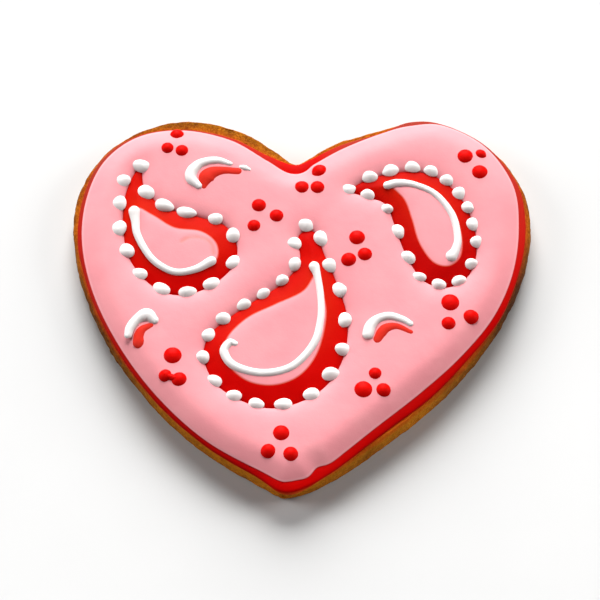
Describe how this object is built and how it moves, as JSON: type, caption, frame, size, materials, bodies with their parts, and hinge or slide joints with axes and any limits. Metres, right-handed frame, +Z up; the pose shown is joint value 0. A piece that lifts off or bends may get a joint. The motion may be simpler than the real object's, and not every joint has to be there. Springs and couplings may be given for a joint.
{
  "type": "iced sugar cookie",
  "caption": "Heart-shaped sugar cookie with a thin red icing coat, a thick pink flood, piped paisley figures, and icing beads, crescents and dots",
  "frame": {"origin": "under the middle of the cookie, on its flat underside", "axes": "+Z up through the icing, +X across the heart, +Y from its tip towards its notch"},
  "size_m": [0.0915, 0.0817, 0.0092],
  "materials": {
    "biscuit": "baked dough, dry and crumbly",
    "red_icing": "dried royal icing, satin",
    "pink_icing": "dried royal icing, satin",
    "white_icing": "dried royal icing, satin"
  },
  "bodies": {
    "root": {"biscuit": "biscuit", "red_coat": "red_icing", "pink_flood": "pink_icing", "paisley_left": "red_icing", "drop_left": "pink_icing", "paisley_centre": "red_icing", "drop_centre": "pink_icing", "paisley_right": "red_icing", "drop_right": "pink_icing"}
  },
  "joints": []
}
